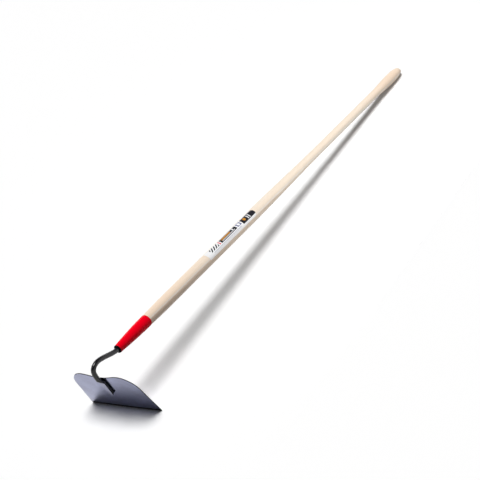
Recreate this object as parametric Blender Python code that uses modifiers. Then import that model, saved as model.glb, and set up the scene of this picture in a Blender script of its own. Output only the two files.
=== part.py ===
"""Garden hoe: a turned ash handle, a red steel ferrule, a gooseneck rod and a steel blade welded to the rod.

Metres, +Z up. The hoe lies on the floor on its cutting edge and on the knob at the end of its handle.
The origin is the middle of the cutting edge, and +Y points to the knob.

The long pieces are modelled in the tool's own frame, the empty tool_axis: local Z runs up the handle from
the ferrule's mouth, local X runs across the blade, and local Y points to the cutting edge's side. The blade
and its welds are modelled in the empty blade_frame: local X across, local Y up the blade from the edge,
and local Z out of the outer face, which the rod is welded to.
"""
from math import asin, atan2, cos, pi, radians, sin

import bmesh
import bpy
from mathutils import Vector

# Clearance left between pieces that touch
GAP = 0.0003

# Handle, measured from the ferrule's mouth
HANDLE_LENGTH = 1.372
HANDLE_RADIUS = 0.015
WAIST_RADIUS = 0.011
KNOB_RADIUS = 0.0138
SWELL_END = 0.185
TAPER_START = 0.530
TAPER_END = 0.930
KNOB_START = 1.220
KNOB_WIDEST = 1.312
KNOB_BLUNTNESS = 3.0
KNOB_CROWDING = 0.8
WOOD_START = 0.008

# Ferrule: a tapered tube that ends in a rounded lip
FERRULE_LENGTH = 0.112
FERRULE_MOUTH_RADIUS = 0.0095
FERRULE_RIM_RADIUS = 0.0141
FERRULE_FLARE = 1.8
FERRULE_WALL = 0.001

# Gooseneck rod, whose tang is driven up the handle
ROD_RADIUS = 0.0055
TANG_LENGTH = 0.100
CROWN_RISE = 0.0141
CROWN_REACH = 0.067
NOSE_REACH = 0.0873
NOSE_DROP = 0.0003
LANDING_HEIGHT = 0.0975
TIP_HEIGHT = 0.057
TIP_THICKNESS = 0.0045
CHISEL_START = 0.106

# How far the rod's curve reaches on each side of its stations before it turns to the next one
TANG_AHEAD = 0.030
MOUTH_BACK = 0.030
MOUTH_AHEAD = 0.020
CROWN_BACK = 0.020
CROWN_AHEAD = 0.0117
NOSE_BACK = 0.0087
NOSE_AHEAD = 0.0105
LANDING_REACH = 0.014

# Blade: sheet steel, with its edge ground on the outer face
BLADE_WIDTH = 0.190
BLADE_HEIGHT = 0.1225
BLADE_THICKNESS = 0.002
BLADE_ANGLE = radians(67.5)
BLADE_BOW = 0.0011
SIDE_SLOPE = 0.095
SHOULDER_ACROSS = 0.040
SHOULDER_UP = 0.0473
TOP_DIP = 0.008
TOP_SHARE = 0.42
EDGE_REACH = 0.0315
EDGE_DROP = 0.1262
EDGE_LAND = 0.0012
GRIND_WIDTH = 0.005
SHEET_CORNER = 0.0002

# The blade's faces, outward of the middle of the flat land along its edge
INNER_FACE = -0.5 * EDGE_LAND
OUTER_FACE = INNER_FACE + BLADE_THICKNESS

# Weld beads along both sides of the rod's end, which thin out over their tapers
BEAD_RADIUS = 0.0022
BEAD_LOW = 0.060
BEAD_HIGH = 0.110
BEAD_TAPER = 0.008
BEAD_END_SHARE = 0.35

# Label, wrapped part of the way round the handle
LABEL_START = 0.360
LABEL_END = 0.571
LABEL_WIDTH = 0.0236
LABEL_ANGLE = radians(-58)
LABEL_THICKNESS = 0.0002
LABEL_ROUND_END = 0.010
LABEL_END_NARROWING = 0.75

# Fineness of the meshes
TURN_STEPS = 40
MERGE_DISTANCE = 0.00001
SMOOTH_ANGLE = radians(40)
CORNER_ANGLE = radians(50)


def eased(start, end, share):
    """Value between start and end at this share of the way, level at both ends."""
    return start + (end - start) * share * share * (3 - 2 * share)


def wood_radius(height):
    """Radius of the bare handle at this distance up from the ferrule's mouth."""
    if height < SWELL_END:
        share = max(0, height - FERRULE_LENGTH) / (SWELL_END - FERRULE_LENGTH)
        return eased(FERRULE_RIM_RADIUS - 0.5 * GAP, HANDLE_RADIUS, share)
    if height < TAPER_START:
        return HANDLE_RADIUS
    if height < TAPER_END:
        return eased(HANDLE_RADIUS, WAIST_RADIUS, (height - TAPER_START) / (TAPER_END - TAPER_START))
    if height < KNOB_START:
        return WAIST_RADIUS
    if height < KNOB_WIDEST:
        return eased(WAIST_RADIUS, KNOB_RADIUS, (height - KNOB_START) / (KNOB_WIDEST - KNOB_START))
    share = min(1.0, (height - KNOB_WIDEST) / (HANDLE_LENGTH - KNOB_WIDEST))
    return KNOB_RADIUS * (1 - share ** KNOB_BLUNTNESS) ** (1 / KNOB_BLUNTNESS)


def ferrule_radius(height):
    """Outer radius of the ferrule at this height."""
    share = 1 - (1 - height / FERRULE_LENGTH) ** FERRULE_FLARE
    return FERRULE_MOUTH_RADIUS + (FERRULE_RIM_RADIUS - FERRULE_MOUTH_RADIUS) * share


def spread(start, end, count):
    """Count values from start to end, both included."""
    return [start + (end - start) * step / (count - 1) for step in range(count)]


def knob_heights(count):
    """Heights over the knob's rounded end, closer together towards the tip."""
    return [KNOB_WIDEST + (HANDLE_LENGTH - KNOB_WIDEST) * sin(0.5 * pi * step / count) ** KNOB_CROWDING
            for step in range(1, count)]


def handle_profile():
    """Radius and height of the handle's rings, from the knob's tip down the outside and up into the bore."""
    bare = spread(FERRULE_LENGTH + GAP, SWELL_END, 5)
    bare += spread(TAPER_START, TAPER_END, 9)
    bare += spread(KNOB_START, KNOB_WIDEST, 7)
    bare += knob_heights(8)
    rings = [(0.0, HANDLE_LENGTH)]
    rings += [(wood_radius(height), height) for height in reversed(bare)]
    inset = FERRULE_WALL + GAP
    inside = spread(WOOD_START, FERRULE_LENGTH + GAP, 7)
    rings += [(ferrule_radius(min(height, FERRULE_LENGTH)) - inset, height) for height in reversed(inside)]
    bore_radius = ROD_RADIUS + GAP
    bore_end = TANG_LENGTH + GAP
    rings += [(bore_radius, WOOD_START), (bore_radius, bore_end), (0.0, bore_end)]
    return rings


def ferrule_profile():
    """Closed loop round the ferrule's wall: down the outside, round the lip, up the inside, over the rim."""
    half_wall = 0.5 * FERRULE_WALL
    heights = spread(FERRULE_LENGTH - half_wall, half_wall, 9)
    outside = [(ferrule_radius(height), height) for height in heights]
    inside = [(radius - FERRULE_WALL, height) for radius, height in reversed(outside)]
    lip_centre = (outside[-1][0] - half_wall, half_wall)
    rim_centre = (outside[0][0] - half_wall, FERRULE_LENGTH - half_wall)
    turns = spread(0, pi, 6)[1:-1]
    lip = [(lip_centre[0] + half_wall * cos(turn), lip_centre[1] - half_wall * sin(turn)) for turn in turns]
    rim = [(rim_centre[0] - half_wall * cos(turn), rim_centre[1] + half_wall * sin(turn)) for turn in turns]
    return outside + lip + inside + rim


def resting_tilt():
    """Slope of the handle when the cutting edge and the knob both touch the floor."""
    tilt = 0.0
    for _ in range(12):
        radius, height = max(handle_profile(), key=lambda ring: ring[0] * cos(tilt) + ring[1] * sin(tilt))
        tilt = atan2(EDGE_DROP - radius, height + EDGE_REACH)
    return tilt


def new_material(name, colour, roughness, metallic=0.0):
    material = bpy.data.materials.new(name)
    material.use_nodes = True
    shader = material.node_tree.nodes["Principled BSDF"]
    shader.inputs["Base Color"].default_value = (*colour, 1.0)
    shader.inputs["Roughness"].default_value = roughness
    shader.inputs["Metallic"].default_value = metallic
    return material


def new_object(name, data, collection, parent, material=None):
    piece = bpy.data.objects.new(name, data)
    collection.objects.link(piece)
    piece.parent = parent
    if material:
        data.materials.append(material)
    return piece


def mesh_from(name, shape):
    """Mesh made from a bmesh, which is freed."""
    mesh = bpy.data.meshes.new(name)
    shape.to_mesh(mesh)
    shape.free()
    return mesh


def turned_piece(name, profile, closed, collection, parent, material):
    """Solid turned about local Z from a profile of radius and height."""
    shape = bmesh.new()
    corners = [shape.verts.new((radius, 0.0, height)) for radius, height in profile]
    for upper, lower in zip(corners, corners[1:]):
        shape.edges.new((upper, lower))
    if closed:
        shape.edges.new((corners[-1], corners[0]))
    piece = new_object(name, mesh_from(name, shape), collection, parent, material)
    turn = piece.modifiers.new("Turn", "SCREW")
    turn.axis = "Z"
    turn.angle = 2 * pi
    turn.steps = TURN_STEPS
    turn.render_steps = TURN_STEPS
    turn.use_smooth_shade = True
    turn.use_merge_vertices = True
    turn.merge_threshold = MERGE_DISTANCE
    return piece


def bezier(name, stations, radius, collection, parent, resolution, bevel_resolution):
    """Round rod along a smooth path; each station is a point, its backward reach and its forward reach."""
    curve = bpy.data.curves.new(name, "CURVE")
    curve.dimensions = "3D"
    curve.resolution_u = resolution
    curve.bevel_depth = radius
    curve.bevel_resolution = bevel_resolution
    curve.use_fill_caps = True
    spline = curve.splines.new("BEZIER")
    spline.bezier_points.add(len(stations) - 1)
    for knot, (place, back, ahead) in zip(spline.bezier_points, stations):
        knot.co = place
        knot.handle_left = Vector(place) + Vector(back)
        knot.handle_right = Vector(place) + Vector(ahead)
    return new_object(name, curve, collection, parent)


def as_mesh_piece(source, collection, parent, material):
    """Welds a curve's caps on and swaps the curve for a mesh piece of the same name and place."""
    bpy.context.view_layer.update()
    evaluated = source.evaluated_get(bpy.context.evaluated_depsgraph_get())
    mesh = bpy.data.meshes.new_from_object(evaluated)
    shape = bmesh.new()
    shape.from_mesh(mesh)
    bmesh.ops.remove_doubles(shape, verts=shape.verts, dist=MERGE_DISTANCE)
    bmesh.ops.recalc_face_normals(shape, faces=shape.faces)
    shape.to_mesh(mesh)
    shape.free()
    name = source.name
    matrix = source.matrix_world.copy()
    bpy.data.objects.remove(source)
    piece = new_object(name, mesh, collection, parent, material)
    piece.matrix_world = matrix
    mesh.shade_smooth()
    mesh.set_sharp_from_angle(angle=SMOOTH_ANGLE)
    return piece


def cutter_box(name, low, high, collection, parent, turn=0.0):
    """Box between two corners, turned about the local X axis through its lowest corner, for cutting."""
    shape = bmesh.new()
    bmesh.ops.create_cube(shape, size=1.0)
    size = Vector(high) - Vector(low)
    bmesh.ops.translate(shape, verts=shape.verts, vec=(0.0, 0.5, 0.5))
    bmesh.ops.scale(shape, verts=shape.verts, vec=size)
    cutter = new_object(name, mesh_from(name, shape), collection, parent)
    cutter.location = (0.5 * (low[0] + high[0]), low[1], low[2])
    cutter.rotation_euler = (turn, 0.0, 0.0)
    cutter.hide_render = True
    cutter.display_type = "WIRE"
    return cutter


def cut(piece, cutter):
    remove = piece.modifiers.new("Cut " + cutter.name, "BOOLEAN")
    remove.operation = "DIFFERENCE"
    remove.object = cutter


def blade_outline(share):
    """Point of the blade's upper outline, across and up, from the middle (0) to the side's top end (1)."""
    side = 0.5 * BLADE_WIDTH - SIDE_SLOPE * (BLADE_HEIGHT - SHOULDER_UP)
    shoulder = side - SHOULDER_ACROSS
    if share < TOP_SHARE:
        across = shoulder * share / TOP_SHARE
        return across, BLADE_HEIGHT - TOP_DIP * (1 - (across / shoulder) ** 2) ** 2
    turn = 0.5 * pi * (share - TOP_SHARE) / (1 - TOP_SHARE)
    return shoulder + SHOULDER_ACROSS * sin(turn), BLADE_HEIGHT - SHOULDER_UP * (1 - cos(turn))


def add_handle(collection, parent):
    ash = new_material("ash_wood", colour=(0.82, 0.66, 0.46), roughness=0.5)
    return turned_piece("handle", handle_profile(), False, collection, parent, ash)


def add_ferrule(collection, parent):
    paint = new_material("red_paint", colour=(0.80, 0.0, 0.02), roughness=0.25)
    return turned_piece("ferrule", ferrule_profile(), True, collection, parent, paint)


def add_rod(collection, cutters, tool_axis, blade_frame):
    """Gooseneck rod: tang, crown, nose, and a straight end on the blade that is ground to a chisel."""
    steel = new_material("black_steel", colour=(0.02, 0.02, 0.025), roughness=0.2, metallic=0.6)
    down = Vector((0.0, sin(BLADE_ANGLE), cos(BLADE_ANGLE)))
    outward = Vector((0.0, cos(BLADE_ANGLE), -sin(BLADE_ANGLE)))
    edge = Vector((0.0, EDGE_DROP, -EDGE_REACH))
    standoff = OUTER_FACE + GAP + ROD_RADIUS
    landing = edge - down * LANDING_HEIGHT + outward * standoff
    tip = edge - down * TIP_HEIGHT + outward * standoff
    along = Vector((0.0, 0.0, 1.0))
    side = Vector((0.0, 1.0, 0.0))
    stations = [
        ((0.0, 0.0, TANG_LENGTH), along * TANG_AHEAD, along * -TANG_AHEAD),
        ((0.0, 0.0, 0.0), along * MOUTH_BACK, along * -MOUTH_AHEAD),
        ((0.0, -CROWN_RISE, -CROWN_REACH), along * CROWN_BACK, along * -CROWN_AHEAD),
        ((0.0, NOSE_DROP, -NOSE_REACH), side * -NOSE_BACK, side * NOSE_AHEAD),
        (landing, down * -LANDING_REACH, down * LANDING_REACH),
        (tip, down * -LANDING_REACH, down * LANDING_REACH),
    ]
    rod = bezier("rod", stations, ROD_RADIUS, collection, tool_axis, 8, 6)
    rod = as_mesh_piece(rod, collection, tool_axis, steel)
    surface = OUTER_FACE + GAP
    crest = surface + 2 * ROD_RADIUS + GAP
    slope = asin((crest - surface - TIP_THICKNESS) / (CHISEL_START - TIP_HEIGHT))
    low = (-2 * ROD_RADIUS, TIP_HEIGHT - ROD_RADIUS, surface + TIP_THICKNESS - ROD_RADIUS * slope)
    high = (2 * ROD_RADIUS, CHISEL_START + ROD_RADIUS, low[2] + 4 * ROD_RADIUS)
    cut(rod, cutter_box("chisel_cutter", low, high, cutters, blade_frame, slope))
    return rod


def add_blade(collection, cutters, blade_frame):
    """Blade: a sheet from the cutting edge to its shouldered outline, bowed and thinned at the edge."""
    steel = new_material("blade_steel", colour=(0.30, 0.30, 0.36), roughness=0.3, metallic=0.9)
    below = BLADE_THICKNESS
    rows = 8
    shape = bmesh.new()
    bmesh.ops.create_grid(shape, x_segments=40, y_segments=rows, size=1.0)
    edge_row = []
    for corner in shape.verts:
        share = abs(corner.co.x)
        row = round(0.5 * rows * (corner.co.y + 1))
        top_across, top_up = blade_outline(share)
        up = GRIND_WIDTH + (top_up - GRIND_WIDTH) * (row - 1) / (rows - 1) if row else -below
        edge_across = 0.5 * BLADE_WIDTH * share
        across = edge_across + (top_across - edge_across) * up / top_up
        bow = BLADE_BOW * (across / (0.5 * BLADE_WIDTH)) ** 2
        corner.co = (across if corner.co.x > 0 else -across, up, INNER_FACE - bow)
        if row == 0:
            edge_row.append(corner.index)
    blade = new_object("blade", mesh_from("blade", shape), collection, blade_frame, steel)
    full = blade.vertex_groups.new(name="thickness")
    full.add(range(len(blade.data.vertices)), 1.0, "REPLACE")
    ground_away = (BLADE_THICKNESS - EDGE_LAND) * (1 + below / GRIND_WIDTH)
    full.add(edge_row, 1 - ground_away / BLADE_THICKNESS, "REPLACE")
    sheet = blade.modifiers.new("Sheet", "SOLIDIFY")
    sheet.thickness = BLADE_THICKNESS
    sheet.offset = 1.0
    sheet.vertex_group = "thickness"
    corners = blade.modifiers.new("Corners", "BEVEL")
    corners.width = SHEET_CORNER
    corners.segments = 1
    corners.limit_method = "ANGLE"
    corners.angle_limit = CORNER_ANGLE
    reach = BLADE_WIDTH
    low = (-reach, -reach, -BLADE_HEIGHT)
    cut(blade, cutter_box("floor_cutter", low, (reach, reach, 0.0), cutters, None))
    return blade


def add_welds(collection, blade_frame):
    """Weld beads in the corners between the rod's end and the blade's outer face."""
    metal = new_material("weld_metal", colour=(0.10, 0.10, 0.12), roughness=0.35, metallic=0.8)
    height = OUTER_FACE + GAP + BEAD_RADIUS
    rod_height = ROD_RADIUS - BEAD_RADIUS
    reach = ((ROD_RADIUS + BEAD_RADIUS + GAP) ** 2 - rod_height ** 2) ** 0.5
    for name, hand in (("weld_left", -1), ("weld_right", 1)):
        across = hand * reach
        up = Vector((0.0, 0.5 * BEAD_TAPER, 0.0))
        places = (BEAD_LOW, BEAD_LOW + BEAD_TAPER, BEAD_HIGH - BEAD_TAPER, BEAD_HIGH)
        stations = [((across, place, height), -up, up) for place in places]
        bead = bezier(name, stations, BEAD_RADIUS, collection, blade_frame, 4, 2)
        for knot in (bead.data.splines[0].bezier_points[0], bead.data.splines[0].bezier_points[-1]):
            knot.radius = BEAD_END_SHARE
        as_mesh_piece(bead, collection, blade_frame, metal)


def add_label(collection, parent):
    """Label: a thin film with one rounded end, wrapped part of the way round the handle."""
    film = new_material("label_film", colour=(0.85, 0.85, 0.85), roughness=0.35)
    shape = bmesh.new()
    bmesh.ops.create_grid(shape, x_segments=14, y_segments=20, size=1.0)
    for corner in shape.verts:
        climb = sin(0.25 * pi * (corner.co.y + 1))
        height = LABEL_START + (LABEL_END - LABEL_START) * climb
        into_end = max(0.0, 1 - (LABEL_END - height) / LABEL_ROUND_END)
        half_width = 0.5 * LABEL_WIDTH * (1 - LABEL_END_NARROWING * into_end ** 2) ** 0.5
        radius = wood_radius(height) + GAP + 0.5 * LABEL_THICKNESS
        angle = LABEL_ANGLE + half_width * corner.co.x / HANDLE_RADIUS
        corner.co = (radius * cos(angle), radius * sin(angle), height)
    label = new_object("label", mesh_from("label", shape), collection, parent, film)
    shell = label.modifiers.new("Film", "SOLIDIFY")
    shell.thickness = LABEL_THICKNESS
    shell.offset = 0.0
    return label


for old in list(bpy.data.objects):
    bpy.data.objects.remove(old)

parts = bpy.data.collections.new("garden_hoe")
cutters = bpy.data.collections.new("cutters")
for collection in (parts, cutters):
    bpy.context.scene.collection.children.link(collection)

tilt = resting_tilt()
tool_axis = new_object("tool_axis", None, parts, None)
tool_axis.rotation_euler = (-(0.5 * pi + tilt), 0.0, 0.0)
tool_axis.location = (0.0, EDGE_REACH * cos(tilt) + EDGE_DROP * sin(tilt),
                      EDGE_DROP * cos(tilt) - EDGE_REACH * sin(tilt))
blade_frame = new_object("blade_frame", None, parts, tool_axis)
blade_frame.rotation_euler = (-(0.5 * pi + BLADE_ANGLE), 0.0, 0.0)
blade_frame.location = (0.0, EDGE_DROP, -EDGE_REACH)
bpy.context.view_layer.update()

add_handle(parts, tool_axis)
add_ferrule(parts, tool_axis)
add_rod(parts, cutters, tool_axis, blade_frame)
add_blade(parts, cutters, blade_frame)
add_welds(parts, blade_frame)
add_label(parts, tool_axis)
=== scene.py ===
"""Looks of the garden hoe: ash handle, red ferrule, black rod and blued blade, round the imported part.

Metres, +Z up. The hoe lies on its cutting edge and on the knob of its handle, which points to +Y.
"""
from math import cos, pi, radians, sin, tan
import bmesh
import bpy
from mathutils import Matrix, Vector


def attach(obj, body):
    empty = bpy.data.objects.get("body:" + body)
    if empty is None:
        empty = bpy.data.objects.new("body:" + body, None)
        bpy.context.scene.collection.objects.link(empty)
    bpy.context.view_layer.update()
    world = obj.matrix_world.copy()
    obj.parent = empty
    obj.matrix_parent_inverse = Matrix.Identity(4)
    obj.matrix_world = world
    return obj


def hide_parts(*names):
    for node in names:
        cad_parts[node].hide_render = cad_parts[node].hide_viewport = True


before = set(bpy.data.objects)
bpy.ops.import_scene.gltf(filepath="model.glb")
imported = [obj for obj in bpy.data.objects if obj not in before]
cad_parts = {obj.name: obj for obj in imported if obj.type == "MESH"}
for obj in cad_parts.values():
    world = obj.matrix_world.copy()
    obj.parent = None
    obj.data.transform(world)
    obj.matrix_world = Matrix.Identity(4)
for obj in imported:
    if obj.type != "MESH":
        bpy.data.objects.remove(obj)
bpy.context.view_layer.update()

# Handle: one turned length of pale ash, sanded smooth and dipped in thin clear lacquer. Its lower end is
# turned down to seat in the ferrule and drilled for the rod's tang. Its upper end swells to a round knob.

HANDLE_LENGTH = 1.372
HANDLE_RADIUS = 0.015
WAIST_RADIUS = 0.011
KNOB_RADIUS = 0.0138
SWELL_END = 0.185
TAPER_START = 0.530
TAPER_END = 0.930
KNOB_START = 1.220
KNOB_WIDEST = 1.312
KNOB_BLUNTNESS = 3.0
KNOB_CROWDING = 0.8
WOOD_START = 0.008
SEAT_LENGTH = 0.112
SEAT_LOW_RADIUS = 0.0082
SEAT_HIGH_RADIUS = 0.0128
SEAT_FLARE = 1.8
BORE_RADIUS = 0.0058
BORE_END = 0.1003
WOOD_ROUND = 0.0006
SHOULDER_RADIUS = 0.0139
HANDLE_SIDES = 96
MERGE_DISTANCE = 0.00001

# Each stretch of the handle above its seat: where it starts and ends, and the rings it is turned with
STRETCHES = (
    (SEAT_LENGTH + WOOD_ROUND, SWELL_END, 10),
    (SWELL_END, TAPER_START, 12),
    (TAPER_START, TAPER_END, 26),
    (TAPER_END, KNOB_START, 10),
    (KNOB_START, KNOB_WIDEST, 18),
)
SEAT_RINGS = 12
KNOB_RINGS = 25

# Shares of a radius or of the rounding, for the rings at the bore's end, the shoulder and the knob's tip
BORE_MIDDLE = 0.3
SHOULDER_RISE = 0.3
TIP_MIDDLE = 0.25
TIP_FLAT = 0.1

# The handle's own frame: Z runs up it from the ferrule's mouth, X across the blade, Y to the cutting edge
EDGE_REACH = 0.0315
EDGE_DROP = 0.1262
SLOPE = 0.082095
mouth_ahead = EDGE_REACH * cos(SLOPE) + EDGE_DROP * sin(SLOPE)
mouth_height = EDGE_DROP * cos(SLOPE) - EDGE_REACH * sin(SLOPE)
lie_down = Matrix.Rotation(-(0.5 * pi + SLOPE), 4, "X")
tool_frame = Matrix.Translation((0.0, mouth_ahead, mouth_height)) @ lie_down


def eased(start, end, share):
    """Value between start and end at this share of the way, level at both ends."""
    return start + (end - start) * share * share * (3 - 2 * share)


def spread(start, end, count):
    """Count values from start to end, both included."""
    return [start + (end - start) * step / (count - 1) for step in range(count)]


def wood_radius(height):
    """Radius of the bare handle at this height above the ferrule's mouth."""
    if height < SWELL_END:
        share = (height - SEAT_LENGTH) / (SWELL_END - SEAT_LENGTH)
        return eased(SHOULDER_RADIUS, HANDLE_RADIUS, max(0.0, share))
    if height < TAPER_START:
        return HANDLE_RADIUS
    if height < TAPER_END:
        return eased(HANDLE_RADIUS, WAIST_RADIUS, (height - TAPER_START) / (TAPER_END - TAPER_START))
    if height < KNOB_START:
        return WAIST_RADIUS
    if height < KNOB_WIDEST:
        return eased(WAIST_RADIUS, KNOB_RADIUS, (height - KNOB_START) / (KNOB_WIDEST - KNOB_START))
    share = (height - KNOB_WIDEST) / (HANDLE_LENGTH - KNOB_WIDEST)
    return KNOB_RADIUS * (1 - share ** KNOB_BLUNTNESS) ** (1 / KNOB_BLUNTNESS)


def select_where(piece, wanted):
    """Selects the corners of a piece, in edit mode, whose place passes a test."""
    shape = bmesh.from_edit_mesh(piece.data)
    for corner in shape.verts:
        corner.select = wanted(corner.co)
    shape.select_flush_mode()
    bmesh.update_edit_mesh(piece.data)


def turn_up(name, profile, sides, closed_loop=False):
    """Turned piece: a ring drawn up from height to height and resized to each radius of its profile.

    A profile starts and ends on the axis, or is a closed loop round a wall, whose last ring meets the first.
    """
    bpy.ops.object.select_all(action="DESELECT")
    radius, height = profile[0]
    bpy.ops.mesh.primitive_circle_add(vertices=sides, radius=radius, location=(0.0, 0.0, height))
    piece = bpy.context.object
    piece.name = name
    bpy.ops.object.transform_apply(location=True)
    bpy.ops.object.mode_set(mode="EDIT")
    bpy.ops.mesh.select_all(action="SELECT")
    if not closed_loop:
        bpy.ops.mesh.edge_face_add()
        bpy.ops.mesh.poke()
        select_where(piece, lambda place: place.xy.length > 0.5 * radius)
    for next_radius, next_height in profile[1:]:
        bpy.ops.mesh.extrude_edges_move(TRANSFORM_OT_translate={"value": (0.0, 0.0, next_height - height)})
        change = next_radius / radius
        bpy.ops.transform.resize(value=(change, change, 1.0), center_override=(0.0, 0.0, next_height))
        radius, height = next_radius, next_height
    if not closed_loop:
        bpy.ops.mesh.merge(type="CENTER")
    bpy.ops.mesh.select_all(action="SELECT")
    bpy.ops.mesh.remove_doubles(threshold=MERGE_DISTANCE)
    bpy.ops.mesh.normals_make_consistent(inside=False)
    bpy.ops.object.mode_set(mode="OBJECT")
    return piece


def place_piece(piece, where, sharp_angle):
    """Puts a piece modelled upright where it belongs, its place kept in its mesh, and shades it smooth."""
    piece.matrix_world = where
    bpy.ops.object.transform_apply(location=True, rotation=True, scale=True)
    bpy.ops.object.shade_smooth_by_angle(angle=sharp_angle)


def new_finish(name, colour, roughness, metallic=0.0, coat=0.0, coat_roughness=0.03, reflectance=0.5):
    """Material with these constants on its shader, and the tree and shader to build its detail on."""
    finish = bpy.data.materials.new(name)
    finish.use_nodes = True
    shader = finish.node_tree.nodes["Principled BSDF"]
    shader.inputs["Base Color"].default_value = (*colour, 1.0)
    shader.inputs["Roughness"].default_value = roughness
    shader.inputs["Metallic"].default_value = metallic
    shader.inputs["Coat Weight"].default_value = coat
    shader.inputs["Coat Roughness"].default_value = coat_roughness
    shader.inputs["Specular IOR Level"].default_value = reflectance
    return finish, finish.node_tree, shader


def add_node(tree, kind, inputs, **settings):
    """New node of a kind, with its settings, and each input set to a value or fed by a node's output."""
    made = tree.nodes.new("ShaderNode" + kind)
    for name, value in settings.items():
        setattr(made, name, value)
    for socket, value in inputs.items():
        if isinstance(value, bpy.types.NodeSocket):
            tree.links.new(value, made.inputs[socket])
        else:
            made.inputs[socket].default_value = value
    return made


def work_out(tree, operation, first, second=0.0, third=0.0, clamp=False):
    """Output of a Math node."""
    made = add_node(tree, "Math", {0: first, 1: second, 2: third}, operation=operation, use_clamp=clamp)
    return made.outputs[0]


def ramp(tree, value, base, rise, clamp=False):
    """A base, which is a number or a node's output, that rises by this much as a value goes from 0 to 1."""
    return work_out(tree, "MULTIPLY_ADD", value, rise, base, clamp=clamp)


def fade(tree, value, start, end):
    """Rises from 0 to 1 as a value goes from start to end."""
    made = add_node(tree, "MapRange", {"Value": value, "From Min": start, "From Max": end},
                    interpolation_type="SMOOTHSTEP")
    return made.outputs["Result"]


def blend_colours(tree, share, first, second):
    """Output of a colour Mix node; the colours are triples or other nodes' outputs."""
    made = tree.nodes.new("ShaderNodeMix")
    made.data_type = "RGBA"
    for socket, value in ((made.inputs["Factor"], share), (made.inputs[6], first), (made.inputs[7], second)):
        if isinstance(value, bpy.types.NodeSocket):
            tree.links.new(value, socket)
        elif socket.type == "RGBA":
            socket.default_value = (*value, 1.0)
        else:
            socket.default_value = value
    return made.outputs[2]


def speckle(tree, vector, scale, stretch=(1.0, 1.0, 1.0), detail=2.0, roughness=0.5):
    """Noise about 0.5 on a vector, finer across than along where it is stretched."""
    stretched = add_node(tree, "Mapping", {"Vector": vector, "Scale": stretch})
    made = add_node(tree, "TexNoise", {"Vector": stretched.outputs[0], "Scale": scale, "Detail": detail,
                                       "Roughness": roughness})
    return made.outputs[0]


def add_relief(tree, shader, height, depth, strength=1.0):
    """Bump of this depth in metres where the height is 1."""
    relief = add_node(tree, "Bump", {"Height": height, "Distance": depth, "Strength": strength})
    tree.links.new(relief.outputs[0], shader.inputs["Normal"])


def own_place(tree, where):
    """Object coordinates turned into a piece's own frame, in metres."""
    everywhere = tree.nodes.new("ShaderNodeTexCoord").outputs["Object"]
    turned = add_node(tree, "Mapping", {"Vector": everywhere, "Location": where.translation,
                                        "Rotation": where.to_euler()}, vector_type="TEXTURE")
    return turned.outputs[0]


seat = [(SEAT_LOW_RADIUS + (SEAT_HIGH_RADIUS - SEAT_LOW_RADIUS) * (1 - (1 - share) ** SEAT_FLARE), height)
        for share, height in zip(spread(0.0, 1.0, SEAT_RINGS), spread(WOOD_START, SEAT_LENGTH, SEAT_RINGS))]
shaft_heights = [SEAT_LENGTH + WOOD_ROUND]
for low, high, rings in STRETCHES:
    shaft_heights += spread(low, high, rings)[1:]
shaft_heights += [KNOB_WIDEST + (HANDLE_LENGTH - KNOB_WIDEST) * sin(turn) ** KNOB_CROWDING
                  for turn in spread(0.0, 0.5 * pi, KNOB_RINGS)[1:-1]]
handle_profile = [(BORE_MIDDLE * BORE_RADIUS, BORE_END), (BORE_RADIUS, BORE_END), (BORE_RADIUS, WOOD_START)]
handle_profile += seat + [(SHOULDER_RADIUS - WOOD_ROUND, SEAT_LENGTH + SHOULDER_RISE * WOOD_ROUND)]
handle_profile += [(wood_radius(height), height) for height in shaft_heights]
handle_profile += [(TIP_MIDDLE * handle_profile[-1][0], HANDLE_LENGTH - TIP_FLAT * WOOD_ROUND)]
handle = turn_up("ash_handle", handle_profile, HANDLE_SIDES)
place_piece(handle, tool_frame, sharp_angle=radians(40))

# Ash: rings round a far pith that run out of the wood at a slant, with brown heartwood on the side towards
# it, one pale ring beside that, open pores in each ring's early wood, and long fine fibres. The heartwood
# lies on the handle's lower side and is partly painted shade there, deepest near the ferrule. The pale ring
# is partly a painted highlight.
PITH_ACROSS = 0.0415
PITH_AWAY = 0.0461
GRAIN_SLANT = (0.0052, -0.0047, 0.0)
RING_WIDTH = 0.0026
RING_WANDER = 0.005
HEART_RADIUS = 0.0602
HEART_EDGE = (0.0003, -0.0012)
HEART_DEEP = 0.15
HEART_PALE = 0.95
PALE_RING_WIDTH = 0.0030
PALE_RING_FULL = 0.0018
PALE_RING_EDGE = 0.0004
LATE_WOOD = (0.93, 0.81, 0.67)
EARLY_WOOD = (0.86, 0.67, 0.50)
PALE_WOOD = (0.96, 0.91, 0.84)
HEARTWOOD_AND_SHADE = (0.66, 0.47, 0.35)
PORE_BROWN = (0.45, 0.29, 0.17)
RUDDY_WOOD = (0.99, 0.75, 0.56)

# Heights up the handle between which the ruddier wood near the ferrule and near the knob fades in
RUDDY_LOW = (0.45, 0.15)
RUDDY_HIGH = (1.10, 1.30)

# The noises of the wood, and the values between which each mark fades in
WANDER_NOISE = dict(scale=22.0, stretch=(1.0, 1.0, 0.22), detail=1.0)
PORE_NOISE = dict(scale=2600.0, stretch=(1.0, 1.0, 0.03), detail=1.0)
FIBRE_NOISE = dict(scale=900.0, stretch=(1.0, 1.0, 0.012), detail=3.0, roughness=0.6)
STREAK_NOISE = dict(scale=130.0, stretch=(1.0, 1.0, 0.02), detail=3.0)
EARLY_START = (0.0, 0.08)
EARLY_END = (0.55, 0.2)
PORE_LIMITS = (0.54, 0.68)
STREAK_LIMITS = (0.5, 0.75)

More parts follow.
